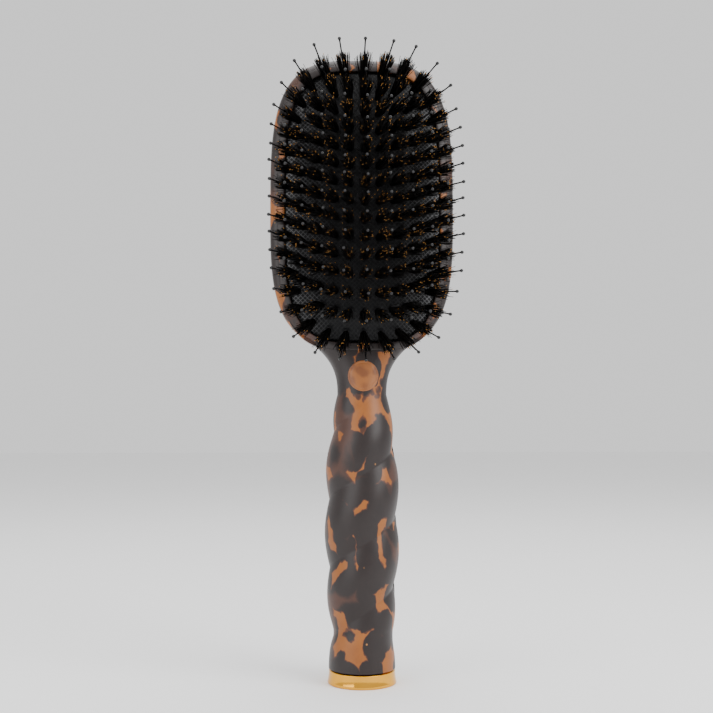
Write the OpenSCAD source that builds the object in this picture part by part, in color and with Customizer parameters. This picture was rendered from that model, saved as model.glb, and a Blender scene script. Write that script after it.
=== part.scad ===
// Cushioned paddle hairbrush that stands on its end cap.
// Two shells with a twisted handle hold an air cushion on a tray; each tuft of boar bristle
// has one ball-tipped quill in its middle and is anchored through the cushion.
// Millimetres, +Z up, bristles towards -Y. Origin: centre of the cap's flat bottom face.

/* [Body] */
// Height of the body from the floor to the top of the head
body_h = 240; // [230:1:300]
// Width of the head
head_w = 71.2; // [58:0.2:88]
// Thickness of the head
head_t = 14; // [13:0.5:18]
// Distance from the head's widest level up to its top
head_up = 58; // [56:1:70]
// Distance from the head's widest level down to where its outline would close
head_down = 53.9; // [50:0.5:54]
// How square the head's outline is, 2 for an ellipse
head_square = 3.4; // [2.4:0.1:4]
// Width over which the head's top edge is rounded
edge_round = 9; // [6:0.5:12]

/* [Handle] */
// Radius of the handle just above the cap
base_r = 12.75; // [12.5:0.05:15]
// Radius at the narrow waist above the cap
waist_r = 12; // [11.6:0.1:14]
// Level of the waist
waist_z = 20; // [16:1:26]
// Radius at the fullest part of the grip
belly_r = 14.35; // [13:0.05:18]
// Level of the fullest part
belly_z = 62; // [50:1:70]
// Half width at the neck
neck_r = 9.5; // [8:0.1:11]
// Length over which the neck flares into the head
neck_flare = 21; // [18:1:26]
// Rise of one turn of the twist
twist_pitch = 26; // [20:0.5:36]
// Level of the lowest crease at the handle's left side
twist_start = 18; // [14:0.5:22]
// Extra rise of a crease across the front, given back across the rear
twist_slant = 6.6; // [0:0.2:8]
// Depth of a crease
twist_depth = 1.75; // [0:0.05:2.4]
// Radius of the hollow inside the grip
hollow_r = 7; // [4:0.5:7.5]
// Solid length left between the hollow and the neck
hollow_stop = 16; // [12:1:30]

/* [End cap] */
// Height of the cap
cap_h = 5.4; // [4.5:0.1:9]
// Radius of the cap's foot
cap_foot_r = 13.2; // [12.8:0.1:16]
// Radius of the cap's top edge
cap_top_r = 12.65; // [12.4:0.05:15]
// Thickness of the cap's floor
cap_floor = 1.6; // [1:0.1:2.4]
// Thickness of the cap's side wall
cap_wall = 1.7; // [1.2:0.1:2.5]
// Bevel on the cap's edges
cap_bevel = 0.45; // [0.2:0.05:0.8]
// Radius of the plug's spigot
spigot_r = 8; // [5:0.1:9]
// Length of the spigot inside the handle
spigot_len = 17; // [10:0.5:24]
// Bore through the plug that keeps it light
plug_bore_r = 5; // [2:0.1:5.5]

/* [Shell joint] */
// Radius of the locating pins
pin_r = 1.1; // [0.8:0.1:1.3]
// Length of the locating pins
pin_len = 3; // [2:0.2:4]
// Radial clearance of pins, spigot and inlay in their seats
seat_gap = 0.05; // [0.03:0.01:0.1]

/* [Neck inlay] */
// Radius of the round inlay
inlay_r = 5.9; // [3:0.1:6.4]
// Depth of the inlay's seat below the neck's front
inlay_depth = 2.6; // [2:0.1:4]
// Height of the inlay's centre above the narrowest level of the neck
inlay_rise = 7; // [6:0.5:10]

/* [Cushion] */
// Width of the head's rim around the cushion
rim_w = 5.7; // [5:0.1:8]
// How square the cushion's outline is
pad_square = 3.6; // [2.6:0.1:4]
// Gap between the cushion and the rim
pad_gap = 0.35; // [0.2:0.05:0.6]
// How far the crown of the cushion stands in front of the parting plane
pad_crown = 13; // [11:0.5:17]
// Fall of the cushion from its crown to the middle of each edge
pad_fall = 7; // [4:0.5:9]
// Thickness of the rubber
pad_t = 1.6; // [1.2:0.1:2.2]
// Thickness of the cushion's upright edge
skirt_t = 1.4; // [1:0.1:1.6]
// Width of the flange under the rim
flange_w = 1.6; // [1.2:0.1:2]
// Thickness of the flange
flange_t = 1.2; // [0.8:0.1:1.6]
// Level of the flange's front face behind the rim, from the parting plane
flange_y = 3.3; // [3:0.1:3.8]
// Depth of the tray behind the parting plane
tray_depth = 2.5; // [2:0.1:3]
// Thickness of the tray's floor
tray_floor = 1.5; // [1:0.1:2]
// Thickness of the tray's wall
tray_wall = 1.8; // [1.2:0.1:2]
// Clearance around the flange and the tray
tray_gap = 0.2; // [0.1:0.05:0.3]
// Radius of the air vent in the tray
vent_r = 1; // [0.6:0.1:1.6]

/* [Tufts] */
// Distance from the cushion's edge to the outer ring of tufts
ring_inset = 3.7; // [3.4:0.1:6]
// Tufts in the outer ring
ring_count = 40; // [28:1:42]
// Spacing of the inner tufts across the head
col_pitch = 5.2; // [5.1:0.1:8]
// Spacing of the inner rows up the head
row_pitch = 6.8; // [5.6:0.05:9]
// How far a row would rise from the middle to the outer ring at the side
row_lift = 7.5; // [0:0.5:8]
// Least gap between the outer ring and the inner tufts
ring_clear = 4.6; // [4.6:0.1:7]
// Lean of the outermost tufts to the sides
lean_side = 29.5; // [0:0.5:32]
// Lean of the outermost tufts up and down
lean_ends = 35; // [0:0.5:38]
// Length of a tuft above the cushion
tuft_len = 12.5; // [8:0.5:15]
// Radius of a tuft at its root
tuft_root_r = 1; // [0.8:0.05:1]
// Radius of a tuft at its tip
tuft_tip_r = 2.2; // [1:0.05:2.3]
// Length of a quill above the cushion
quill_len = 20; // [16:0.5:24]
// Radius of a quill
quill_r = 0.28; // [0.2:0.02:0.35]
// Radius of a quill's ball tip
ball_r = 0.66; // [0.4:0.02:0.9]
// Length of a quill inside its anchor
quill_foot = 1.4; // [0.8:0.1:1.6]
// Radial clearance of a quill in its tuft and anchor
quill_gap = 0.05; // [0.03:0.01:0.08]
// Clearance between an anchor and the cushion
anchor_gap = 0.1; // [0.05:0.01:0.15]
// Radius of an anchor's head behind the cushion
anchor_head_r = 1.55; // [1.3:0.05:1.6]
// Thickness of an anchor's head
anchor_head_t = 0.6; // [0.4:0.05:0.8]
// Depth from the cushion's surface to an anchor's head
anchor_depth = 2.45; // [2.4:0.05:3]

/* [Hidden] */
head_z = body_h - head_up;              // the head's widest level
head_a = head_w / 2;
head_b = head_t / 2;
join_z = head_z - head_down + 2.9;      // where the neck's flare meets the head's outline
flare_power = 2.6;                      // how late the belly and the neck swell
flat_start = 18;                        // the grip starts to flatten this far below the neck
flat_length = 46;                       // and is as flat as the head after this length
neck_z = join_z - neck_flare;           // narrowest level of the neck
handle_z = cap_h + 0.3;                 // the handle's bottom face, a thin groove above the cap
hollow_top = neck_z - hollow_stop;
pad_a = head_a - rim_w;                 // half sizes of the cushion's opening in the rim
pad_b = head_up - rim_w;
ring_a = pad_a - ring_inset;
ring_b = pad_b - ring_inset;
long_curve = (pad_b * pad_b + pad_fall * pad_fall) / (2 * pad_fall);
side_curve = (pad_a * pad_a + pad_fall * pad_fall) / (2 * pad_fall);
inlay_z = neck_z + inlay_rise;
spigot_top = handle_z + spigot_len;
root_run = 0.8;                         // straight length at a tuft's root
tip_round = 0.7;                        // how much a tuft's tip is drawn in, over its last millimetre
end_power = 5;                          // how late the lean up and down comes in
hole_below = 2;                         // each anchor hole runs this far past the anchor's head
half_rows = floor((ring_b - ring_clear) / row_pitch);
half_cols = floor((ring_a - ring_clear) / col_pitch);
ROWS = 2 * half_rows + 1;
ring_steps = 180;                       // chords used to measure the ring's length
outline_points = 72;
body_sides = 20;                        // facets round half of the body
handle_rings = 46;
head_rings = 26;
head_tip = 0.03;                        // the last ring stops this far below the head's top
far = 400;
plastic = "#3b2d2b";
amber = "#b0733a";
rubber = "#232325";
bristle = "#15110e";
black = "#101012";
gold = "#e0b040";
$fn = 40;

function two(i) = str(i < 10 ? "0" : "", i);

function limit(t) = min(1, max(0, t));
function ease(t) = let (u = limit(t)) u * u * (3 - 2 * u);
function mix(a, b, t) = a + (b - a) * t;
function signed_pow(v, e) = sign(v) * pow(abs(v), e);
function unit(v) = v / norm(v);

// Half width of a superellipse with half sizes a and b at height h from its centre
function oval_half(a, b, n, h) = a * pow(max(0, 1 - pow(abs(h) / b, n)), 1 / n);
// Points of a superellipse
function oval(a, b, n, count) =
    [for (i = [0:count - 1]) let (t = 360 * i / count)
        [a * signed_pow(cos(t), 2 / n), b * signed_pow(sin(t), 2 / n)]];

// Crest radius of the grip, from the cap to the neck
function grip_r(z) =
    z < waist_z ? mix(base_r, waist_r, ease((z - handle_z) / (waist_z - handle_z)))
    : z < belly_z ? mix(belly_r, waist_r, pow((belly_z - z) / (belly_z - waist_z), flare_power))
    : mix(belly_r, neck_r, pow(limit((z - belly_z) / (neck_z - belly_z)), flare_power));
// Half width of the whole body
function half_width(z) =
    z >= join_z ? oval_half(head_a, z > head_z ? head_up : head_down, head_square, z - head_z)
    : z > neck_z ? mix(neck_r, half_width(join_z), pow((z - neck_z) / neck_flare, flare_power))
    : grip_r(z);
// Half thickness of the whole body
function half_depth(z) =
    let (down = (body_h - z) / edge_round)
    z < neck_z - flat_start ? grip_r(z)
    : mix(grip_r(z), head_b, ease((z - neck_z + flat_start) / flat_length))
      * (down < 1 ? pow(1 - pow(1 - down, 2.5), 0.4) : 1);
// Exponent of a section, from round in the grip to square-shouldered in the head
function section_power(z) = 2 / mix(2, 3, ease((z - neck_z) / (join_z - neck_z + 8)));
// Depth of a crease at a level, fading out at the base and at the neck
function crease_depth(z) =
    twist_depth * ease((z - handle_z - 4) / 14) * ease((neck_z + 4 - z) / 22);
// Level of the lowest crease at an angle counted from the left side across the front
function crease_z(turn) =
    twist_start + twist_pitch * turn / 360 + twist_slant * (1 - cos(turn)) / 2;
function crease(z, turn) =
    let (t = (z - crease_z(turn)) / twist_pitch) 1 - abs(sin(180 * t));
// Point of the body's skin at level z; angle 0 is +X, side is -1 for the front and 1 for the back
function skin(z, angle, side) =
    let (e = section_power(z),
         turn = side < 0 ? 180 - angle : 180 + angle,
         k = 1 - crease_depth(z) * crease(z, turn) / grip_r(z))
    [half_width(z) * k * signed_pow(cos(angle), e),
     side * half_depth(z) * k * pow(sin(angle), e), z];

inlay_floor = half_depth(inlay_z) - inlay_depth;    // level of the inlay's seat
// Places of the locating pins, [x, z]: beside the spigot, beside the hollow and below the neck
pin_places = let (side = (hollow_r + belly_r - twist_depth) / 2,
                  foot = (spigot_r + waist_r) / 2)
    [for (s = [-1, 1]) each
        [[s * foot, waist_z - 8], [s * side, belly_z], [s * (neck_r - 3.6), neck_z - 6]]];

// Levels of the loft: even up the handle, closer towards the head's top
levels = concat(
    [for (i = [0:handle_rings - 1]) mix(handle_z, neck_z, i / handle_rings)],
    [for (i = [0:head_rings]) mix(neck_z, body_h - head_tip, sin(90 * i / head_rings))]);

// Front (side = -1) or back (side = 1) half of the body as one closed skin with a flat parting face
module half_body(side) {
    m = body_sides + 1;
    last = len(levels) - 1;
    points = [for (z = levels, j = [0:body_sides]) skin(z, 180 * j / body_sides, side)];
    walls = [for (i = [0:last - 1], j = [0:body_sides])
        let (a = i * m + j, b = i * m + (j + 1) % m, c = b + m, d = a + m)
        each [[a, b, c], [a, c, d]]];
    bottom = [for (j = [body_sides:-1:0]) j];
    top = [for (j = [0:body_sides]) last * m + j];
    faces = concat(walls, [bottom], [top]);
    // counter-clockwise from outside is turned round for the front half
    polyhedron(points, side < 0 ? faces : [for (f = faces) [for (k = [len(f) - 1:-1:0]) f[k]]]);
}

// Prism of a cushion outline grown by g, from y0 to y1
module outline_block(g, y0, y1)
    translate([0, y1, head_z]) rotate([90, 0, 0]) linear_extrude(y1 - y0)
        polygon(oval(pad_a + g, pad_b + g, pad_square, outline_points));

// Ring whose outer face is the cushion's dome, shrunk by t; its inner wall lies far behind the cushion
module dome(t)
    translate([0, long_curve - pad_crown, head_z]) rotate([0, 90, 0])
        rotate_extrude($fn = 240) intersection() {
            translate([long_curve - side_curve, 0]) circle(side_curve - t, $fn = 180);
            translate([long_curve / 2, -side_curve]) square([long_curve, 2 * side_curve]);
        }

// Cylinder along Y
module y_rod(r, x, z, y0, y1)
    translate([x, y1, z]) rotate([90, 0, 0]) cylinder(r = r, h = y1 - y0);
// Cylinder along Z
module z_rod(r, z0, z1) translate([0, 0, z0]) cylinder(r = r, h = z1 - z0);

module shell_hollows() {
    z_rod(spigot_r + seat_gap, handle_z - 1, spigot_top + 0.5);
    z_rod(hollow_r, handle_z, hollow_top);
}

module front_shell() color(plastic) difference() {
    half_body(-1);
    shell_hollows();
    outline_block(0, -far / 10, 1);
    outline_block(flange_w + tray_gap, -flange_y, 1);
    for (p = pin_places) y_rod(pin_r + seat_gap, p[0], p[1], -pin_len - 0.4, 1);
    y_rod(inlay_r + seat_gap, 0, inlay_z, -far / 10, -inlay_floor);
}

module back_shell() color(plastic) {
    difference() {
        half_body(1);
        shell_hollows();
        outline_block(flange_w + tray_gap, -1, tray_depth);
    }
    for (p = pin_places) y_rod(pin_r, p[0], p[1], -pin_len, 0);
}

// Round inlay flush with the neck, over a flat seat
module neck_inlay() color(amber) intersection() {
    half_body(-1);
    y_rod(inlay_r, 0, inlay_z, -far / 10, -inlay_floor);
}

module end_cap() color(gold) rotate_extrude($fn = 96) polygon([
    [0, 0], [cap_foot_r - cap_bevel, 0], [cap_foot_r, cap_bevel],
    [cap_top_r, cap_h - cap_bevel], [cap_top_r - cap_bevel, cap_h],
    [cap_top_r - cap_wall, cap_h], [cap_top_r - cap_wall, cap_floor], [0, cap_floor]]);

module cap_plug() color(black) difference() {
    union() {
        z_rod(cap_top_r - cap_wall - seat_gap, cap_floor, handle_z);
        z_rod(spigot_r, cap_floor, spigot_top);
    }
    z_rod(plug_bore_r, 2 * cap_floor, spigot_top + 1);
}

module cushion_tray() color(black) difference() {
    outline_block(flange_w, -flange_y + flange_t, tray_depth);
    outline_block(flange_w - tray_wall, -flange_y, tray_depth - tray_floor);
    y_rod(vent_r, 0, head_z, 0, tray_depth + 1);
}

// Rubber dome with an upright edge and a flange; every anchor has its own hole
module cushion_pad() color(rubber) difference() {
    union() {
        intersection() {
            outline_block(-pad_gap, -pad_crown - 1, -flange_y);
            dome(0);
        }
        outline_block(flange_w, -flange_y, -flange_y + flange_t);
    }
    intersection() {
        outline_block(-pad_gap - skirt_t, -pad_crown - 1, 0);
        dome(pad_t);
    }
    for (p = all_places) at_tuft(p)
        translate([0, 0, -anchor_depth - hole_below])
            cylinder(r = tuft_root_r + anchor_gap, h = anchor_depth + 1.3 * hole_below);
}

// Level of the cushion's face in front of the parting plane at x, z
function pad_face(p) =
    let (r = long_curve - side_curve + sqrt(side_curve * side_curve - p[0] * p[0]))
    pad_crown - long_curve + sqrt(r * r - p[1] * p[1]);
// Direction of a tuft, given its place on the head
function tuft_dir(p) = unit([tan(lean_side) * sin(90 * p[0] / ring_a), -1,
                             tan(lean_ends) * signed_pow(p[1] / ring_b, end_power)]);

// The outer ring: equal steps along its outline, found from the running length of short chords
ring_line = [for (i = [0:ring_steps])
    let (t = 90 - 360 * i / ring_steps)
        [ring_a * signed_pow(cos(t), 2 / pad_square), ring_b * signed_pow(sin(t), 2 / pad_square)]];
ring_run = [for (i = 0, s = 0; i <= ring_steps;
    s = s + (i < ring_steps ? norm(ring_line[i + 1] - ring_line[i]) : 0), i = i + 1) s];
ring_along = [for (i = [0:ring_steps]) [ring_run[i], i]];
ring_places = [for (k = [0:ring_count - 1])
    let (f = lookup(ring_run[ring_steps] * k / ring_count, ring_along),
         i = floor(f))
        mix(ring_line[i], ring_line[min(i + 1, ring_steps)], f - i)];
// Inner rows, counted from the top: bands that rise towards the sides, kept clear of the ring
function row_places(i) =
    let (h = (half_rows + 1 - i) * row_pitch)
    [for (c = [-half_cols:half_cols])
        let (x = c * col_pitch, p = [x, h + row_lift * pow(x / ring_a, 2)])
        if (abs(p[1]) < ring_b && abs(x) < oval_half(ring_a, ring_b, pad_square, p[1])
            && min([for (q = ring_places) norm(q - p)]) >= ring_clear) p];
all_places = concat(ring_places, [for (i = [1:ROWS]) each row_places(i)]);

// Puts a child that stands on +Z onto the cushion at p, along the tuft's direction
module at_tuft(p) {
    d = tuft_dir(p);
    translate([p[0], -pad_face(p), head_z + p[1]])
        rotate([0, acos(d[2]), atan2(d[1], d[0])]) children();
}

module tufts(places) color(bristle) for (p = places) at_tuft(p)
    rotate_extrude() polygon([
        [quill_r + quill_gap, 0], [tuft_root_r, 0], [tuft_root_r, root_run],
        [tuft_tip_r, tuft_len - 1], [tuft_tip_r - tip_round, tuft_len],
        [quill_r + quill_gap, tuft_len]]);

module quills(places) color(black) for (p = places) at_tuft(p) {
    translate([0, 0, -quill_foot]) cylinder(r = quill_r, h = quill_len + quill_foot - ball_r, $fn = 16);
    translate([0, 0, quill_len - ball_r]) sphere(r = ball_r, $fn = 20);
}

module anchors(places) color(black) for (p = places) at_tuft(p)
    rotate_extrude() polygon([
        [0, -anchor_depth - anchor_head_t], [anchor_head_r, -anchor_depth - anchor_head_t],
        [anchor_head_r, -anchor_depth], [tuft_root_r, -anchor_depth], [tuft_root_r, 0],
        [quill_r + quill_gap, 0], [quill_r + quill_gap, -quill_foot], [0, -quill_foot]]);

front_shell();
back_shell();
neck_inlay();
end_cap();
cap_plug();
cushion_tray();
cushion_pad();
tufts(ring_places);  // rim_tufts
quills(ring_places);  // rim_quills
anchors(ring_places);  // rim_anchors
for (i = [1:ROWS]) {
    tufts(row_places(i));
    quills(row_places(i));
    anchors(row_places(i));
}
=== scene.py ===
"""Cushioned paddle hairbrush standing on a gold end cap.

The twisted tortoiseshell body, the rubber cushion, the mixed boar and quill tufts and the cap are
made here over the CAD frame. Sizes are millimetres in the formulas and metres in the meshes.
"""
import math

import bmesh
import bpy
import numpy as np
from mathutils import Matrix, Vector


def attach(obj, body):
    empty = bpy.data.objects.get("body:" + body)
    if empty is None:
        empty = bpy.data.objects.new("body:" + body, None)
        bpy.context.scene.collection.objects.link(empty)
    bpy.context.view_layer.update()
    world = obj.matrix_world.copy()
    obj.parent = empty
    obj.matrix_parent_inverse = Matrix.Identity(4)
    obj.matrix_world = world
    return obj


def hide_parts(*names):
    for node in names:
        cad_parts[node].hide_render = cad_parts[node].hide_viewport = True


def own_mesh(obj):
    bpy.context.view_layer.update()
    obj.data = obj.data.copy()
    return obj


MM = 0.001

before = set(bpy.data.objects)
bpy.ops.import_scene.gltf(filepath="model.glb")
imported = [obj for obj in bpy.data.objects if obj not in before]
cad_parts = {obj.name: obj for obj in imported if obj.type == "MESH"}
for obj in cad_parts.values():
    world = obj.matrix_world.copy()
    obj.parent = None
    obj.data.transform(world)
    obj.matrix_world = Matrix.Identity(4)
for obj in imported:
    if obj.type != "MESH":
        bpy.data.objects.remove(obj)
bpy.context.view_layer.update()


# ---------------------------------------------------------------- node trees as Python sums

class Wire:
    """An output socket that can be used in Python sums."""

    def __init__(self, graph, socket):
        self.graph = graph
        self.socket = socket

    def math(self, operation, *others):
        sockets = dict(enumerate((self, *others)))
        return self.graph.node("ShaderNodeMath", {"operation": operation}, sockets)

    def __add__(self, other):
        return self.math("ADD", other)

    __radd__ = __add__

    def __sub__(self, other):
        return self.math("SUBTRACT", other)

    def __rsub__(self, other):
        return (self * -1) + other

    def __mul__(self, other):
        return self.math("MULTIPLY", other)

    __rmul__ = __mul__

    def __truediv__(self, other):
        return self.math("DIVIDE", other)

    def __pow__(self, other):
        return self.math("POWER", other)

    def __gt__(self, other):
        return self.math("GREATER_THAN", other)

    def __abs__(self):
        return self.math("ABSOLUTE")

    def also(self, name):
        """Another output of the same node."""
        return Wire(self.graph, self.socket.node.outputs[name])


class Graph:
    """A node tree under construction."""

    def __init__(self, tree):
        self.tree = tree

    def node(self, kind, settings=None, sockets=None, out=0):
        """One node: its type, its settings, and the values or links of its sockets."""
        made = self.tree.nodes.new(kind)
        for name, value in (settings or {}).items():
            setattr(made, name, value)
        for key, value in (sockets or {}).items():
            if isinstance(value, Wire):
                self.tree.links.new(value.socket, made.inputs[key])
            else:
                made.inputs[key].default_value = value
        return Wire(self, made.outputs[out]) if made.outputs else made

    def mix(self, factor, a, b):
        """Colour a, or b where factor is 1."""
        return self.node("ShaderNodeMix", {"data_type": "RGBA"}, {0: factor, 6: a, 7: b}, out=2)

    def vector(self, x, y, z):
        return self.node("ShaderNodeCombineXYZ", {}, {0: x, 1: y, 2: z})

    def move(self, operation, a, b):
        """Vector maths on a and b."""
        name = "Scale" if operation == "SCALE" else 1
        return self.node("ShaderNodeVectorMath", {"operation": operation}, {0: a, name: b})

    def axes(self, vector):
        """The three numbers of a vector."""
        x = self.node("ShaderNodeSeparateXYZ", {}, {0: vector})
        return x, x.also("Y"), x.also("Z")


# ---------------------------------------------------------------- shape rules, for numbers, arrays and wires

BODY_H = 240
HEAD_A = 35.6
HEAD_B = 7
HEAD_UP = 58
HEAD_DOWN = 53.9
HEAD_SQUARE = 3.4
HEAD_Z = BODY_H - HEAD_UP
JOIN_Z = HEAD_Z - HEAD_DOWN + 2.9
NECK_R = 9.5
NECK_FLARE = 21
NECK_Z = JOIN_Z - NECK_FLARE
FLAT_START = 18         # the grip starts to flatten this far below the neck
FLAT_LENGTH = 46        # and is as flat as the head after this length
EDGE_ROUND = 9          # width over which the head's top edge is rounded
HANDLE_Z = 5.7
BASE_R = 12.75
WAIST_R = 12
WAIST_Z = 20
BELLY_R = 14.35
BELLY_Z = 62
SWELL = 2.6
TWIST_PITCH = 26
TWIST_START = 18
TWIST_SLANT = 6.6
TWIST_DEPTH = 1.75
RIM_W = 5.7
PAD_A = HEAD_A - RIM_W
PAD_B = HEAD_UP - RIM_W
PAD_SQUARE = 3.6
PAD_GAP = 0.35
PAD_CROWN = 13
PAD_FALL = 7
FLANGE_Y = 3.3
RING_INSET = 3.7
RING_A = PAD_A - RING_INSET
RING_B = PAD_B - RING_INSET
RING_STEPS = 180        # chords used to measure the ring's length
RING_COUNT = 40
RING_CLEAR = 4.6
COL_PITCH = 5.2
ROW_PITCH = 6.8
ROW_LIFT = 7.5          # rise of a row from the middle to the ring
HALF_ROWS = int((RING_B - RING_CLEAR) // ROW_PITCH)
HALF_COLS = int((RING_A - RING_CLEAR) // COL_PITCH)
LEAN_SIDE = math.radians(29.5)
LEAN_ENDS = math.radians(35)
END_POWER = 5           # how late the lean up and down comes in
TUFT_LEN = 12.5
QUILL_LEN = 20
QUILL_R = 0.28
BALL_R = 0.66
INLAY_R = 5.9
INLAY_Z = NECK_Z + 7
CAP_H = 5.4
CAP_FOOT_R = 13.2
CAP_TOP_R = 12.65
CAP_BEVEL = 0.45


def limit(t):
    if isinstance(t, Wire):
        return t.graph.node("ShaderNodeClamp", {}, {0: t})
    return np.clip(t, 0, 1)


def sine(t):
    return t.math("SINE") if isinstance(t, Wire) else np.sin(t)


def cosine(t):
    return t.math("COSINE") if isinstance(t, Wire) else np.cos(t)


def sign(t):
    return t.math("SIGN") if isinstance(t, Wire) else np.sign(t)


def ease(t):
    u = limit(t)
    return u * u * (3 - 2 * u)


def blend(a, b, t):
    return a + (b - a) * t


def signed_pow(v, e):
    return sign(v) * abs(v) ** e


def oval_half(a, b, n, h):
    """Half width of a superellipse with half sizes a and b at height h from its centre."""
    return a * limit(1 - (abs(h) / b) ** n) ** (1 / n)


def grip_r(z):
    """Crest radius of the grip."""
    lower = limit((BELLY_Z - z) / (BELLY_Z - WAIST_Z)) ** SWELL
    upper = limit((z - BELLY_Z) / (NECK_Z - BELLY_Z)) ** SWELL
    foot = 1 - ease((z - HANDLE_Z) / (WAIST_Z - HANDLE_Z))
    return (BELLY_R + (WAIST_R - BELLY_R) * lower + (NECK_R - BELLY_R) * upper
            + (BASE_R - WAIST_R) * foot)


def half_width(z):
    """Half width of the whole body."""
    upper = z > HEAD_Z
    reach = HEAD_DOWN + (HEAD_UP - HEAD_DOWN) * upper
    head = oval_half(HEAD_A, reach, HEAD_SQUARE, z - HEAD_Z)
    at_join = oval_half(HEAD_A, HEAD_DOWN, HEAD_SQUARE, JOIN_Z - HEAD_Z)
    flare = grip_r(z) + (at_join - NECK_R) * limit((z - NECK_Z) / NECK_FLARE) ** SWELL
    return flare + (head - flare) * (z > JOIN_Z)


def half_depth(z):
    """Half thickness of the whole body."""
    down = limit((BODY_H - z) / EDGE_ROUND)
    top = limit(1 - limit(1 - down) ** 2.5) ** 0.4
    return blend(grip_r(z), HEAD_B, ease((z - NECK_Z + FLAT_START) / FLAT_LENGTH)) * top


def squareness(z):
    """Exponent of a section's superellipse, 2 in the grip and 3 in the head."""
    return 2 + ease((z - NECK_Z) / (JOIN_Z - NECK_Z + 8))


def crease_share(z, turn):
    """How far the skin is drawn in by the twist, as a share of the radius; turn is in radians."""
    lowest = TWIST_START + turn * (TWIST_PITCH / (2 * math.pi)) + (1 - cosine(turn)) * (TWIST_SLANT / 2)
    crease = 1 - abs(sine((z - lowest) * (math.pi / TWIST_PITCH)))
    depth = ease((z - HANDLE_Z - 4) / 14) * ease((NECK_Z + 4 - z) / 22) * TWIST_DEPTH
    return crease * depth / grip_r(z)


def front_y(x, z):
    """Level of the body's front skin at x, z, above the twist."""
    n = squareness(z)
    return -half_depth(z) * limit(1 - (abs(x) / half_width(z)) ** n) ** (1 / n)


def outline(a, b, n, t):
    """Point of a superellipse at angle t."""
    return a * signed_pow(cosine(t), 2 / n), b * signed_pow(sine(t), 2 / n)


SIDE_CURVE = (PAD_A ** 2 + PAD_FALL ** 2) / (2 * PAD_FALL)
LONG_CURVE = (PAD_B ** 2 + PAD_FALL ** 2) / (2 * PAD_FALL)


def pad_face(x, z):
    """How far the cushion's face stands in front of the parting plane; z is from the head's middle."""
    r = LONG_CURVE - SIDE_CURVE + np.sqrt(SIDE_CURVE ** 2 - x ** 2)
    return PAD_CROWN - LONG_CURVE + np.sqrt(r ** 2 - z ** 2)


def ring_places():
    """The outer ring of tufts: equal steps along its outline, clockwise from the top."""
    t = np.radians(90 - np.arange(RING_STEPS + 1) * (360 / RING_STEPS))
    x, z = outline(RING_A, RING_B, PAD_SQUARE, t)
    run = np.concatenate([[0], np.cumsum(np.hypot(np.diff(x), np.diff(z)))])
    at = run[-1] * np.arange(RING_COUNT) / RING_COUNT
    return np.column_stack([np.interp(at, run, x), np.interp(at, run, z)])


def row_places():
    """The inner rows, from the top: bands that rise towards the sides, kept clear of the ring."""
    ring = ring_places()
    places = []
    for row in range(HALF_ROWS, -HALF_ROWS - 1, -1):
        for col in range(-HALF_COLS, HALF_COLS + 1):
            x = col * COL_PITCH
            z = row * ROW_PITCH + ROW_LIFT * (x / RING_A) ** 2
            inside = abs(z) < RING_B and abs(x) < oval_half(RING_A, RING_B, PAD_SQUARE, z)
            if inside and np.hypot(ring[:, 0] - x, ring[:, 1] - z).min() >= RING_CLEAR:
                places.append((x, z))
    return np.array(places)


def seats(places):
    """Where tufts stand, in metres, and the way they point."""
    x, z = places[:, 0], places[:, 1]
    seat = np.column_stack([x, -pad_face(x, z), HEAD_Z + z]) * MM
    aim = np.column_stack([
        math.tan(LEAN_SIDE) * np.sin(math.pi / 2 * x / RING_A),
        -np.ones(len(x)),
        math.tan(LEAN_ENDS) * signed_pow(z / RING_B, END_POWER)])
    return seat, aim / np.linalg.norm(aim, axis=1, keepdims=True)


# ---------------------------------------------------------------- finishes

def new_material(name, roughness, **fixed):
    """A material with its graph and shader; fixed values are set on the shader's own sockets."""
    material = bpy.data.materials.new(name)
    material.use_nodes = True
    tree = material.node_tree
    shader = tree.nodes["Principled BSDF"]
    shader.inputs["Roughness"].default_value = roughness
    for key, value in fixed.items():
        shader.inputs[key.replace("_", " ")].default_value = value
    return material, Graph(tree), shader


def feed(graph, shader, **wires):
    for key, wire in wires.items():
        graph.tree.links.new(wire.socket, shader.inputs[key.replace("_", " ")])


def bump(graph, height, strength, distance):
    return graph.node("ShaderNodeBump", {}, {"Strength": strength, "Distance": distance, "Height": height})


def place(graph):
    return graph.node("ShaderNodeTexCoord", {}, {}, out="Object")


def noise(graph, at, scale, detail=2.0, rough=0.5, out=0):
    return graph.node("ShaderNodeTexNoise", {}, {
        "Vector": at, "Scale": scale, "Detail": detail, "Roughness": rough}, out=out)


def cells(graph, at, scale, feature="F1", randomness=1.0, smooth=None, out=0):
    sockets = {"Vector": at, "Scale": scale, "Randomness": randomness}
    if smooth is not None:
        sockets["Smoothness"] = smooth
    return graph.node("ShaderNodeTexVoronoi", {"feature": feature}, sockets, out=out)


def step(graph, value, low, high):
    """0 below low, 1 above high, smooth between."""
    return graph.node("ShaderNodeMapRange", {"interpolation_type": "SMOOTHSTEP"}, {
        "Value": value, "From Min": low, "From Max": high})


def warped(graph, at, scale, amount):
    """Coordinates pushed about by a noise, amount in metres."""
    push = graph.node("ShaderNodeVectorMath", {"operation": "SUBTRACT"}, {
        0: noise(graph, at, scale, 3.0, 0.55, out="Color"), 1: (0.5, 0.5, 0.5)})
    return graph.move("ADD", at, graph.move("SCALE", push, amount * 2))


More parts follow.
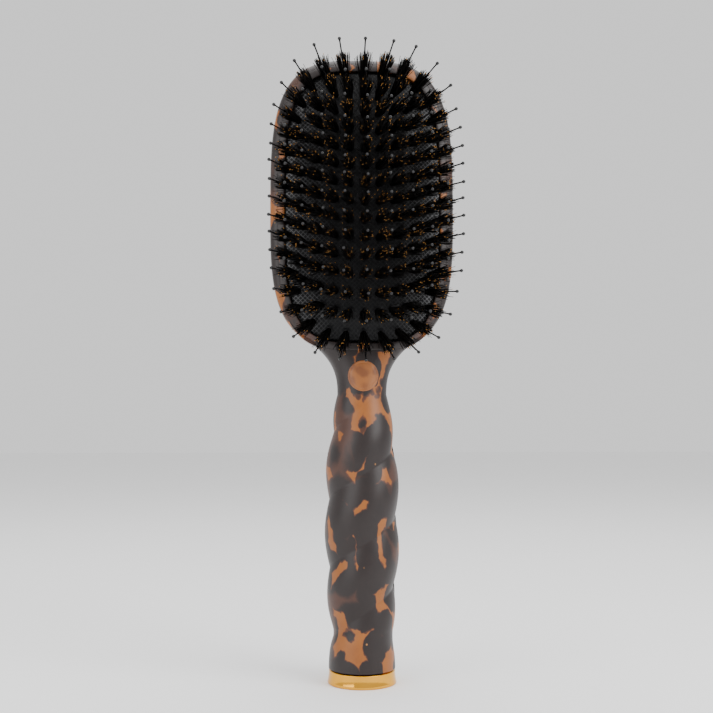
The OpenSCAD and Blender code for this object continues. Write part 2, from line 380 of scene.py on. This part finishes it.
def tortoiseshell():
    material, g, shader = new_material("tortoiseshell", 0.40, Specular_IOR_Level=0.4)
    at = place(g)
    tall = g.move("MULTIPLY", at, (1.0, 1.0, 0.72))
    pushed = warped(g, tall, 130.0, 0.0022)
    # dark rounded clouds leave flame-shaped amber gaps with pointed arms between them
    big = cells(g, pushed, 124.0)
    small = cells(g, g.move("ADD", pushed, (0.031, 0.017, 0.005)), 190.0)
    drift = noise(g, tall, 48.0, 1.0)
    fine = noise(g, at, 900.0, 2.0)
    level = big * 0.92 + small * 0.22 + (drift - 0.5) * 0.28 + (fine - 0.5) * 0.03
    amber = step(g, level, 0.745, 0.768)
    edge = step(g, level, 0.705, 0.76)
    # deeper patches show through as a dull red brown
    sunk_at = g.move("ADD", pushed, (0.012, 0.044, 0.021))
    sunk = step(g, cells(g, sunk_at, 74.0) + (noise(g, at, 60.0, 1.0) - 0.5) * 0.5, 0.64, 0.78)
    cloud = noise(g, at, 210.0, 3.0)
    dark = g.mix(cloud, (0.009, 0.0050, 0.0048, 1), (0.017, 0.0098, 0.0088, 1))
    brown = g.mix(cloud, (0.055, 0.020, 0.012, 1), (0.080, 0.031, 0.018, 1))
    honey = g.mix(cloud, (0.20, 0.058, 0.008, 1), (0.30, 0.098, 0.016, 1))
    colour = g.mix(sunk * 0.75, dark, brown)
    colour = g.mix(edge * 0.75, colour, (0.12, 0.036, 0.014, 1))
    colour = g.mix(amber, colour, honey)
    dots = 1 - step(g, cells(g, at, 150.0), 0.045, 0.075)
    colour = g.mix(dots * step(g, noise(g, at, 120.0, 0.0), 0.55, 0.6), colour, (0.30, 0.13, 0.035, 1))
    rough = 0.36 + noise(g, at, 1300.0, 2.0) * 0.09
    feed(g, shader, Base_Color=colour, Roughness=rough,
         Normal=bump(g, noise(g, at, 4200.0, 2.0), 0.05, 0.00003))
    return material


def gold():
    material, g, shader = new_material("polished gold", 0.1, Metallic=1.0)
    at = place(g)
    rings = g.move("MULTIPLY", at, (120.0, 120.0, 9000.0))
    lines = noise(g, rings, 1.0, 2.0)
    tone = noise(g, at, 130.0, 2.0)
    colour = g.mix(tone, (0.70, 0.32, 0.022, 1), (0.80, 0.40, 0.045, 1))
    feed(g, shader, Base_Color=colour, Roughness=0.07 + lines * 0.07,
         Normal=bump(g, lines, 0.04, 0.00002))
    return material


def cushion_rubber():
    material, g, shader = new_material("woven rubber", 0.6, Specular_IOR_Level=0.25)
    at = place(g)
    x, _, z = g.axes(at)
    thread_gap = 1.25 * MM
    turn = math.pi / thread_gap * math.sqrt(0.5)
    wobble = (noise(g, at, 240.0, 1.0) - 0.5) * 0.7
    # two sets of diagonal threads; each is palest along its middle
    up = abs(sine((x + z) * turn + wobble))
    down = abs(sine((x - z) * turn - wobble))
    weave = limit(1 - up.math("MINIMUM", down) * 1.7)
    tone = noise(g, at, 90.0, 2.0)
    # painted light and shade: the threads are painted paler towards the lit sides of the head, where the
    # tufts stand apart, and darker in the middle as painted shade between the tufts
    painted_side_light = step(g, abs(x), 0.010, 0.026)
    thread = g.mix(painted_side_light, (0.012, 0.012, 0.013, 1), (0.15, 0.15, 0.155, 1))
    colour = g.mix(weave ** 1.5, (0.002, 0.002, 0.0025, 1), thread)
    colour = g.mix(tone * 0.35, colour, (0.010, 0.010, 0.011, 1))
    feed(g, shader, Base_Color=colour, Roughness=0.66 - weave * 0.16,
         Normal=bump(g, weave, 0.55, 0.00012))
    return material


def boar_bristle():
    material, g, shader = new_material("boar bristle", 0.42, Specular_IOR_Level=0.2)
    along = g.node("ShaderNodeAttribute", {"attribute_name": "along"}, {}, out="Fac")
    tint = g.node("ShaderNodeAttribute", {"attribute_name": "tint"}, {}, out="Fac")
    start = 0.99 - tint * 0.03
    tip = step(g, along, start, start + 0.01) * (tint > 0.89)
    shade = g.mix(tint, (0.0022, 0.0018, 0.0017, 1), (0.0055, 0.0044, 0.0038, 1))
    colour = g.mix(tip, shade, (0.62, 0.29, 0.07, 1))
    feed(g, shader, Base_Color=colour, Roughness=0.36 + tint * 0.16)
    return material


def quill_nylon():
    material, g, shader = new_material("quill nylon", 0.2, Specular_IOR_Level=0.4)
    at = place(g)
    grain = noise(g, at, 2600.0, 2.0)
    colour = g.mix(noise(g, at, 300.0, 1.0), (0.002, 0.002, 0.0025, 1), (0.005, 0.005, 0.0055, 1))
    feed(g, shader, Base_Color=colour, Roughness=0.14 + grain * 0.12)
    return material


def moulded_black():
    material, g, shader = new_material("moulded black plastic", 0.5)
    at = place(g)
    grain = noise(g, at, 1800.0, 3.0, 0.6)
    colour = g.mix(grain, (0.009, 0.009, 0.010, 1), (0.019, 0.019, 0.021, 1))
    feed(g, shader, Base_Color=colour, Roughness=0.42 + grain * 0.18,
         Normal=bump(g, grain, 0.12, 0.00005))
    return material


def amber_inlay():
    material, g, shader = new_material("amber inlay", 0.38, Specular_IOR_Level=0.5)
    at = place(g)
    pushed = warped(g, at, 160.0, 0.0016)
    bands = cells(g, pushed, 260.0, "SMOOTH_F1", smooth=0.6)
    cloud = noise(g, at, 420.0, 3.0)
    colour = g.mix(step(g, bands, 0.25, 0.62), (0.15, 0.043, 0.008, 1), (0.27, 0.088, 0.016, 1))
    colour = g.mix(cloud * 0.5, colour, (0.19, 0.060, 0.011, 1))
    feed(g, shader, Base_Color=colour, Roughness=0.34 + cloud * 0.1,
         Normal=bump(g, noise(g, at, 4200.0, 2.0), 0.05, 0.00003))
    return material


def pale_floor():
    material, g, shader = new_material("pale floor", 0.7, Specular_IOR_Level=0.2)
    at = place(g)
    colour = g.mix(noise(g, at, 6.0, 2.0), (0.93, 0.93, 0.93, 1), (0.95, 0.95, 0.95, 1))
    feed(g, shader, Base_Color=colour)
    return material


SHELL = tortoiseshell()
GOLD = gold()
RUBBER = cushion_rubber()
BOAR = boar_bristle()
NYLON = quill_nylon()
BLACK = moulded_black()
AMBER = amber_inlay()
FLOOR = pale_floor()


# ---------------------------------------------------------------- mesh helpers

def mesh_object(name, points, faces, material=None, smooth=True):
    """An object from points in metres."""
    mesh = bpy.data.meshes.new(name)
    mesh.from_pydata([tuple(p) for p in points], [], faces)
    mesh.polygons.foreach_set("use_smooth", [smooth] * len(mesh.polygons))
    if material:
        mesh.materials.append(material)
    mesh.update()
    thing = bpy.data.objects.new(name, mesh)
    bpy.context.scene.collection.objects.link(thing)
    return thing


def grid_faces(rows, cols, closed_rows=False, closed_cols=False):
    """Quads over a grid of points stored row by row."""
    faces = []
    for i in range(rows if closed_rows else rows - 1):
        for j in range(cols if closed_cols else cols - 1):
            a = i * cols + j
            b = i * cols + (j + 1) % cols
            c = (i + 1) % rows * cols + (j + 1) % cols
            d = (i + 1) % rows * cols + j
            faces.append((a, b, c, d))
    return faces


def plain(thing, sharp=40):
    """Replaces the object's mesh by what its modifiers make of it."""
    graph = bpy.context.evaluated_depsgraph_get()
    mesh = bpy.data.meshes.new_from_object(thing.evaluated_get(graph), depsgraph=graph)
    thing.modifiers.clear()
    old = thing.data
    thing.data = mesh
    mesh.name = thing.name
    bpy.data.meshes.remove(old)
    if sharp:
        mesh.set_sharp_from_angle(angle=math.radians(sharp))
    return thing


def remove(thing):
    bpy.data.objects.remove(thing, do_unlink=True)


def finished(thing, body, slot, *nodes):
    """Hands a piece to the frame: what it rides on and what it stands for, whose CAD parts are hidden; slot
    is not used.
    """
    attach(thing, body)
    if nodes:
        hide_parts(*nodes)
    return thing


def new_geometry_tree(name, inputs):
    """An empty Geometry Nodes tree with named inputs: name to (socket type, value)."""
    tree = bpy.data.node_groups.new(name, "GeometryNodeTree")
    tree.interface.new_socket("Geometry", in_out="INPUT", socket_type="NodeSocketGeometry")
    for key, (kind, value) in inputs.items():
        socket = tree.interface.new_socket(key, in_out="INPUT", socket_type=kind)
        if value is not None:
            socket.default_value = value
    tree.interface.new_socket("Geometry", in_out="OUTPUT", socket_type="NodeSocketGeometry")
    return Graph(tree)


def close_tree(graph, geometry, material):
    """Ends a tree in Realize Instances and Set Material."""
    real = graph.node("GeometryNodeRealizeInstances", {}, {0: geometry})
    painted = graph.node("GeometryNodeSetMaterial", {}, {"Geometry": real, "Material": material})
    graph.node("NodeGroupOutput", {}, {0: painted})


def run_tree(thing, graph, values=None):
    """Adds the tree as a modifier, with its inputs set by their sockets' identifiers."""
    modifier = thing.modifiers.new("make", "NODES")
    modifier.node_group = graph.tree
    for item in graph.tree.interface.items_tree:
        if item.in_out == "INPUT" and item.name in (values or {}):
            modifier[item.identifier] = values[item.name]
    return thing


# ---------------------------------------------------------------- body

AROUND = 128            # points round one half: 96 on the skin and 32 on the parting face
SKIN_SHARE = 0.75
RINGS = 420
HANDLE_SHARE = 0.6
BAND_W = 2.9            # width of the flatter inner band of the rim


def body_tree():
    """Half of the body as a closed tube whose points are moved onto the skin by the shape rules."""
    g = new_geometry_tree("body half", {
        "Side": ("NodeSocketFloat", -1.0),
        "Around": ("NodeSocketInt", AROUND),
        "Rings": ("NodeSocketInt", RINGS)})
    given = g.node("NodeGroupInput")
    side = given.also("Side")
    tube = g.node("GeometryNodeMeshCylinder", {"fill_type": "NGON"}, {
        "Vertices": given.also("Around"), "Side Segments": given.also("Rings"),
        "Radius": 1.0, "Depth": 1.0})
    x, y, z = g.axes(g.node("GeometryNodeInputPosition"))
    full = 2 * math.pi
    turned = y.math("ARCTAN2", x)
    share = ((turned / full) + 1.0001).math("FRACT") - 0.0001
    up = limit(z + 0.5)
    handle = HANDLE_Z + (NECK_Z - HANDLE_Z) * limit(up / HANDLE_SHARE)
    rise = sine(limit((up - HANDLE_SHARE) / (1 - HANDLE_SHARE)) * (math.pi / 2))
    level = handle + (BODY_H - 0.004 - NECK_Z) * rise
    angle = limit(share / SKIN_SHARE) * math.pi
    flat = limit((share - SKIN_SHARE) / (1 - SKIN_SHARE))
    power = squareness(level)
    turn = side * angle + math.pi
    shrink = 1 - crease_share(level, turn)
    inverse = power.math("POWER", -1.0) * 2
    across = signed_pow(cosine(angle), inverse) + flat * 2
    out = limit(sine(angle)) ** inverse
    place_x = half_width(level) * shrink * across * MM
    place_y = half_depth(level) * shrink * out * side * MM
    moved = g.node("GeometryNodeSetPosition", {}, {
        "Geometry": tube, "Position": g.vector(place_x, place_y, level * MM)})
    front = side.math("LESS_THAN", 0.0)
    flipped = g.node("GeometryNodeFlipFaces", {}, {"Mesh": moved, "Selection": front})
    smooth = g.node("GeometryNodeSetShadeSmooth", {}, {"Geometry": flipped, "Shade Smooth": True})
    close_tree(g, smooth, SHELL)
    return g


def outline_prism(grow, low, high, count=480):
    """A cutter of the cushion's outline grown by some millimetres."""
    t = np.arange(count) * 2 * math.pi / count
    x, z = outline(PAD_A + grow, PAD_B + grow, PAD_SQUARE, t)
    rings = [np.column_stack([x, np.full(count, y), z + HEAD_Z]) * MM for y in (low, high)]
    faces = [f[::-1] for f in grid_faces(2, count, closed_cols=True)]
    faces += [tuple(range(count)), tuple(range(2 * count - 1, count - 1, -1))]
    return mesh_object("cutter", np.concatenate(rings), faces)


def rim_band():
    """The flatter inner band of the rim: over its face, round its lip and down to the flange."""
    count = 480
    t = np.arange(count) * 2 * math.pi / count
    lip = 0.45
    profile = [(BAND_W + 0.06, 1.2), (BAND_W + 0.06, 0.16), (BAND_W - 0.10, 0.05), (BAND_W - 0.32, 0.0)]
    profile += [(BAND_W * k, -0.05 * math.sin(math.pi * k)) for k in (0.75, 0.6, 0.45, 0.3)]
    for step_angle in (15, 30, 45, 60, 75, 90):
        a = math.radians(step_angle)
        profile.append((lip * (1 - math.sin(a)), lip * (1 - math.cos(a))))
    profile += [(0.0, 1.2), (0.0, 6.0), (BAND_W + 0.06, 6.0)]
    rings = []
    for grow, drop in profile:
        x, z = outline(PAD_A + grow, PAD_B + grow, PAD_SQUARE, t)
        z = z + HEAD_Z
        face = front_y(x, z)
        y = np.minimum(face + drop, -FLANGE_Y) if drop >= 1.2 else face + drop
        if drop >= 6:
            y = np.full(count, -FLANGE_Y)
        rings.append(np.column_stack([x, y, z]) * MM)
    faces = grid_faces(len(profile), count, closed_rows=True, closed_cols=True)
    return mesh_object("rim band", np.concatenate(rings), faces, SHELL)


def join(first, *others):
    for other in others:
        other.select_set(True)
    first.select_set(True)
    bpy.context.view_layer.objects.active = first
    with bpy.context.temp_override(active_object=first, selected_editable_objects=[first, *others]):
        bpy.ops.object.join()
    return first


def outwards(thing):
    """Turns the faces of a closed mesh outwards."""
    work = bmesh.new()
    work.from_mesh(thing.data)
    bmesh.ops.recalc_face_normals(work, faces=work.faces)
    work.to_mesh(thing.data)
    work.free()
    return thing


def make_body():
    tree = body_tree()
    for name, side in (("front body shell", -1.0), ("back body shell", 1.0)):
        seed = mesh_object(name.replace(" ", "_"), [(0, 0, 0)], [])
        run_tree(seed, tree, {"Side": side})
        shell = plain(seed, 0)
        if side < 0:
            window = outwards(outline_prism(BAND_W, -30, 3))
            cut = shell.modifiers.new("window", "BOOLEAN")
            cut.operation = "DIFFERENCE"
            cut.object = window
            cut.solver = "MANIFOLD"
            plain(shell, 0)
            remove(window)
            shell = join(shell, outwards(rim_band()))
            finished(shell, "brush_body", "tortoiseshell", "front_shell")
        else:
            finished(shell, "brush_body", "tortoiseshell", "back_shell")
        shell.data.set_sharp_from_angle(angle=math.radians(38))


def make_inlay():
    """Plain round inlay over the neck, a hair proud of the skin, with a soft edge."""
    count = 96
    t = np.arange(count) * 2 * math.pi / count
    profile = [(0.001, 0.10), (1.5, 0.10), (3.0, 0.10), (4.2, 0.10), (4.8, 0.095), (5.0, 0.03),
               (5.15, 0.03), (5.3, 0.095), (5.6, 0.09), (5.78, 0.06), (5.87, 0.0), (INLAY_R, -0.12),
               (INLAY_R, -1.2)]
    rings = []
    for r, proud in profile:
        x, z = r * np.cos(t), INLAY_Z + r * np.sin(t)
        rings.append(np.column_stack([x, front_y(x, z) - proud, z]) * MM)
    faces = grid_faces(len(profile), count, closed_cols=True)
    faces.append(tuple(range(count))[::-1])
    last = (len(profile) - 1) * count
    faces.append(tuple(range(last, last + count)))
    inlay = outwards(mesh_object("neck_inlay_disc", np.concatenate(rings), faces, AMBER))
    inlay.data.set_sharp_from_angle(angle=math.radians(50))
    finished(inlay, "brush_body", "amber_inlay", "neck_inlay")


# ---------------------------------------------------------------- end cap

def turned(name, profile, count, material, sharp=45):
    """A closed solid of revolution about the handle's axis: profile is (radius, level) in mm."""
    t = np.arange(count) * 2 * math.pi / count
    rings = [np.column_stack([r * np.cos(t), r * np.sin(t), np.full(count, z)]) * MM for r, z in profile]
    faces = grid_faces(len(profile), count, closed_cols=True)
    faces.append(tuple(range(count))[::-1])
    last = (len(profile) - 1) * count
    faces.append(tuple(range(last, last + count)))
    thing = outwards(mesh_object(name, np.concatenate(rings), faces, material))
    if sharp:
        thing.data.set_sharp_from_angle(angle=math.radians(sharp))
    return thing


def arc(cx, cz, r, start, end, steps=5):
    """Points of an arc in a profile, angles in degrees from +radius towards +level."""
    found = []
    for i in range(steps + 1):
        a = math.radians(start + (end - start) * i / steps)
        found.append((cx + r * math.cos(a), cz + r * math.sin(a)))
    return found


def make_cap():
    """Flaring gold cup: flat foot with a rounded edge, slightly hollow side, bevelled lip."""
    foot_round = 0.5
    lip_z = CAP_H - foot_round - 0.02
    profile = [(0.01, 0.0), (9.0, 0.0)]
    profile += arc(CAP_FOOT_R - foot_round, foot_round, foot_round, -90, 0)
    for k in (0.15, 0.3, 0.45, 0.6, 0.75, 0.9):
        z = foot_round + k * 4.35
        profile.append((CAP_FOOT_R - (CAP_FOOT_R - CAP_TOP_R) * k - 0.10 * math.sin(math.pi * k), z))
    profile += arc(CAP_TOP_R - 0.12, lip_z, 0.12, 0, 50, 3)
    profile += arc(CAP_TOP_R - CAP_BEVEL - 0.10, CAP_H - 0.10, 0.10, 50, 90, 3)
    profile += [(11.1, CAP_H), (10.97, CAP_H - 0.1), (10.95, 1.62), (0.01, 1.6)]
    finished(turned("gold_end_cap", profile, 192, GOLD, 30), "brush_body", "gold_metal", "end_cap")


# ---------------------------------------------------------------- cushion

def make_cushion():
    """Crowned rubber dome: a grid fitted to the outline, with a soft shoulder and drawn-in seats."""
    cols, rows = 141, 233
    a, b = PAD_A - PAD_GAP, PAD_B - PAD_GAP

    def spread(n):
        t = np.linspace(-1, 1, n)
        return np.sign(t) * (1 - (1 - abs(t)) ** 1.25)

    u, v = np.meshgrid(spread(cols), spread(rows))
    reach = np.maximum(abs(u), abs(v))
    n = PAD_SQUARE
    length = (abs(u) ** n + abs(v) ** n) ** (1 / n)
    fit = np.where(length > 0, reach / np.maximum(length, 1e-9), 1)
    x, z = a * u * fit, b * v * fit
    face = pad_face(x, z)
    # distance to the outline, from the outline's rule and its slope
    gx = abs(x) ** (n - 1) / a ** n
    gz = abs(z) ** (n - 1) / b ** n
    slope = np.hypot(gx, gz) * np.maximum(reach, 1e-6) ** (1 - n)
    edge = np.clip((1 - reach) / np.maximum(slope, 1e-9), 0, 30)
    shoulder = 1.3
    collar_h, collar_r = 0.42, 1.75
    dip, dip_r = 0.35, 2.3
    bent = np.clip(shoulder - edge, 0, shoulder)
    face = face - (shoulder - np.sqrt(shoulder ** 2 - bent ** 2))
    places = np.concatenate([ring_places(), row_places()])
    near = np.full(x.shape, 99.0)
    for px, pz in places:
        near = np.minimum(near, np.hypot(x - px, z - pz))
    # each tuft stands on a low moulded collar inside a shallow dip
    face = face - dip * np.exp(-((near - dip_r) / 0.8) ** 2) + collar_h * ease((collar_r - near) / 0.7)
    top = np.column_stack([x.ravel(), -face.ravel(), z.ravel() + HEAD_Z])
    back = top.copy()
    back[:, 1] = -FLANGE_Y
    faces = grid_faces(rows, cols)
    count = rows * cols
    faces += [tuple(count + i for i in f[::-1]) for f in faces]
    border = [j for j in range(cols)]
    border += [i * cols + cols - 1 for i in range(1, rows)]
    border += [(rows - 1) * cols + j for j in range(cols - 2, -1, -1)]
    border += [i * cols for i in range(rows - 2, 0, -1)]
    for k, first in enumerate(border):
        after = border[(k + 1) % len(border)]
        faces.append((after, first, count + first, count + after))
    pad = outwards(mesh_object("cushion_dome", np.concatenate([top, back]) * MM, faces, RUBBER))
    pad.data.set_sharp_from_angle(angle=math.radians(60))
    finished(pad, "brush_body", "cushion_rubber", "cushion_pad")
    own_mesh(pad)


# ---------------------------------------------------------------- tufts

def point_mesh(name, places):
    """Loose points at the tufts' seats, with the way each tuft points."""
    seat, aim = seats(places)
    thing = mesh_object(name, seat, [])
    attribute = thing.data.attributes.new("aim", "FLOAT_VECTOR", "POINT")
    attribute.data.foreach_set("vector", aim.astype(np.float32).ravel())
    return thing


def strand_tree():
    """Boar strands: every seat gets a bundle that leaves its hole close together and fans out."""
    g = new_geometry_tree("boar strands", {
        "Strands": ("NodeSocketInt", 92),
        "Length": ("NodeSocketFloat", TUFT_LEN * MM),
        "Root": ("NodeSocketFloat", 0.95 * MM),
        "Fan": ("NodeSocketFloat", 2.75 * MM),
        "Thickness": ("NodeSocketFloat", 0.135 * MM),
        "Seed": ("NodeSocketInt", 7)})
    given = g.node("NodeGroupInput")
    seed = given.also("Seed")
    cloud = g.node("GeometryNodeMeshToPoints", {}, {"Mesh": given.also("Geometry")})
    many = g.node("GeometryNodeDuplicateElements", {"domain": "POINT"}, {
        "Geometry": cloud, "Amount": given.also("Strands")})

    def chance(offset, low=0.0, high=1.0):
        return g.node("FunctionNodeRandomValue", {"data_type": "FLOAT"}, {
            2: low, 3: high, "Seed": seed + offset}, out=1)

    def stored(geometry, name, value, kind="FLOAT", domain="POINT"):
        settings = {"data_type": kind, "domain": domain}
        return g.node("GeometryNodeStoreNamedAttribute", settings, {
            "Geometry": geometry, "Name": name, "Value": value})

    def named(name, kind="FLOAT"):
        return g.node("GeometryNodeInputNamedAttribute", {"data_type": kind}, {"Name": name})

    aim = named("aim", "FLOAT_VECTOR")
    turn = g.node("FunctionNodeAlignRotationToVector", {"axis": "Z"}, {"Vector": aim})
    angle = chance(1) * (2 * math.pi)
    spread = chance(2) ** 0.5
    stray = chance(3) ** 9.0 * 0.75 + 1
    wander = chance(4, -0.5, 0.5)
    root_r = spread * given.also("Root")
    tip_r = spread * stray * given.also("Fan")
    tip_angle = angle + wander
    drop = spread ** 3.0 * 0.09 + chance(5) ** 2.0 * 0.10
    length = (1.02 - drop) * given.also("Length")

    def spun(vector):
        return g.node("FunctionNodeRotateVector", {}, {"Vector": vector, "Rotation": turn})

    root = spun(g.vector(cosine(angle) * root_r, sine(angle) * root_r, -0.5 * MM))
    tip = spun(g.vector(cosine(tip_angle) * tip_r, sine(tip_angle) * tip_r, length))
    bend = spun(g.vector(chance(6, -0.55, 0.55) * MM, chance(7, -0.55, 0.55) * MM, 0.0))
    spots = stored(many, "seat", g.node("GeometryNodeInputPosition"), "FLOAT_VECTOR")
    spots = stored(spots, "root", root, "FLOAT_VECTOR")
    spots = stored(spots, "reach", tip, "FLOAT_VECTOR")
    spots = stored(spots, "bend", bend, "FLOAT_VECTOR")
    spots = stored(spots, "tint", chance(8))
    line = g.node("GeometryNodeCurvePrimitiveLine", {}, {"End": (0.0, 0.0, 1.0)})
    line = g.node("GeometryNodeResampleCurve", {"mode": "COUNT"}, {"Curve": line, "Count": 4})
    copies = g.node("GeometryNodeInstanceOnPoints", {}, {"Points": spots, "Instance": line})
    strands = g.node("GeometryNodeRealizeInstances", {}, {0: copies})
    along = g.node("GeometryNodeSplineParameter")
    straight = g.node("ShaderNodeMix", {"data_type": "VECTOR"}, {
        0: along, 4: named("root", "FLOAT_VECTOR"), 5: named("reach", "FLOAT_VECTOR")}, out=1)
    bow = g.move("SCALE", named("bend", "FLOAT_VECTOR"), along * (1.6 - along))
    spot = g.move("ADD", named("seat", "FLOAT_VECTOR"), g.move("ADD", straight, bow))
    strands = g.node("GeometryNodeSetPosition", {}, {"Geometry": strands, "Position": spot})
    strands = stored(strands, "along", along)
    radius = (1.05 - along * 0.35) * given.also("Thickness") * (0.85 + named("tint") * 0.35)
    ring = g.node("GeometryNodeCurvePrimitiveCircle", {"mode": "RADIUS"}, {"Resolution": 3, "Radius": 1.0})
    hairs = g.node("GeometryNodeCurveToMesh", {}, {
        "Curve": strands, "Profile Curve": ring, "Scale": radius, "Fill Caps": True})
    close_tree(g, hairs, BOAR)
    return g


def plant_tree():
    """Stands a copy of a small part on every seat, along the tuft, with a little play."""
    g = new_geometry_tree("planted parts", {
        "Part": ("NodeSocketObject", None),
        "Finish": ("NodeSocketMaterial", None),
        "Play": ("NodeSocketFloat", math.radians(1.2)),
        "Seed": ("NodeSocketInt", 3)})
    given = g.node("NodeGroupInput")
    aim = g.node("GeometryNodeInputNamedAttribute", {"data_type": "FLOAT_VECTOR"}, {"Name": "aim"})
    play = given.also("Play")
    low = g.vector(play * -1, play * -1, play * -1)
    high = g.vector(play, play, play)
    sway = g.node("FunctionNodeRandomValue", {"data_type": "FLOAT_VECTOR"}, {
        0: low, 1: high, "Seed": given.also("Seed")})
    turn = g.node("FunctionNodeAlignRotationToVector", {"axis": "Z"}, {"Vector": g.move("ADD", aim, sway)})
    part = g.node("GeometryNodeObjectInfo", {"transform_space": "ORIGINAL"}, {
        "Object": given.also("Part")}, out="Geometry")
    copies = g.node("GeometryNodeInstanceOnPoints", {}, {
        "Points": given.also("Geometry"), "Instance": part, "Rotation": turn})
    close_tree(g, copies, given.also("Finish"))
    return g


def lathe_part(name, profile, count):
    """A small part standing on +Z at the origin, for planting: profile is (radius, height) in mm."""
    return turned(name, profile, count, None, 0)


def make_tufts():
    strands = strand_tree()
    plant = plant_tree()
    shaft = [(0.05, -1.0), (QUILL_R, -1.0), (QUILL_R, 9.0), (QUILL_R, 18.0)]
    middle = QUILL_LEN - BALL_R
    ball = [(BALL_R * r, middle + BALL_R * up) for r, up in (
        (0.60, -0.80), (0.92, -0.39), (1.0, 0.04), (0.82, 0.57), (0.40, 0.91))]
    quill = lathe_part("quill part", shaft + ball, 8)
    for part, body, places in (("rim", "bristle_rim", ring_places()),
                               ("inner", "bristle_field", row_places())):
        numbers = [f"{i:02d}" for i in range(1, 2 * HALF_ROWS + 2)]
        tuft_nodes = ["rim_tufts"] if part == "rim" else [f"tuft_row_{i}" for i in numbers]
        quill_nodes = ["rim_quills"] if part == "rim" else [f"quill_row_{i}" for i in numbers]
        hair = point_mesh(part + "_boar_bristles", places)
        run_tree(hair, strands, {"Seed": 11 if part == "rim" else 29})
        finished(plain(hair, 0), body, "boar_bristle", *tuft_nodes)
        pins = point_mesh(part + "_ball_quills", places)
        run_tree(pins, plant, {"Part": quill, "Finish": NYLON, "Seed": 5})
        pins = plain(pins, 0)
        pins.data.polygons.foreach_set("use_smooth", [True] * len(pins.data.polygons))
        finished(pins, body, "quill_nylon", *quill_nodes)
    remove(quill)


# ---------------------------------------------------------------- assembly

make_body()
make_inlay()
make_cap()
make_cushion()
make_tufts()

for node_name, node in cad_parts.items():
    if node_name in ("cap_plug", "cushion_tray") or "anchor" in node_name:
        for slot_index in range(len(node.material_slots)):
            node.material_slots[slot_index].material = BLACK


# ---------------------------------------------------------------- stage, light and camera

def make_stage():
    half = 3.0
    corners = [(-half, -half, 0), (half, -half, 0), (half, half, 0), (-half, half, 0)]
    floor = mesh_object("floor", corners, [(0, 1, 2, 3)], FLOOR, smooth=False)
    world = bpy.data.worlds.new("studio")
    world.use_nodes = True
    world.node_tree.nodes["Background"].inputs["Color"].default_value = (1.0, 1.0, 1.0, 1)
    world.node_tree.nodes["Background"].inputs["Strength"].default_value = 1.0
    bpy.context.scene.world = world


def soft_light(name, place_at, target, width, height, power):
    data = bpy.data.lights.new(name, "AREA")
    data.shape = "RECTANGLE"
    data.size = width
    data.size_y = height
    data.energy = power
    lamp = bpy.data.objects.new(name, data)
    lamp.location = place_at
    aim = Vector(target) - Vector(place_at)
    lamp.rotation_euler = aim.to_track_quat("-Z", "Y").to_euler()
    bpy.context.scene.collection.objects.link(lamp)


def make_camera():
    data = bpy.data.cameras.new("camera")
    data.sensor_width = 36
    data.lens = 55.0
    data.shift_y = 0.03
    camera = bpy.data.objects.new("camera", data)
    camera.location = (-0.030, -0.420, 0.100)
    aim = Vector((-0.0021, 0.0, 0.1165)) - camera.location
    camera.rotation_euler = aim.to_track_quat("-Z", "Y").to_euler()
    bpy.context.scene.collection.objects.link(camera)
    bpy.context.scene.camera = camera


make_stage()
soft_light("key", (0.55, -0.45, 0.55), (0, 0, 0.13), 0.5, 0.7, 6.0)
soft_light("fill", (-0.6, -0.5, 0.35), (0, 0, 0.13), 0.6, 0.6, 3.0)
soft_light("top", (0.0, 0.1, 0.9), (0, 0, 0.1), 0.8, 0.8, 5.0)
make_camera()
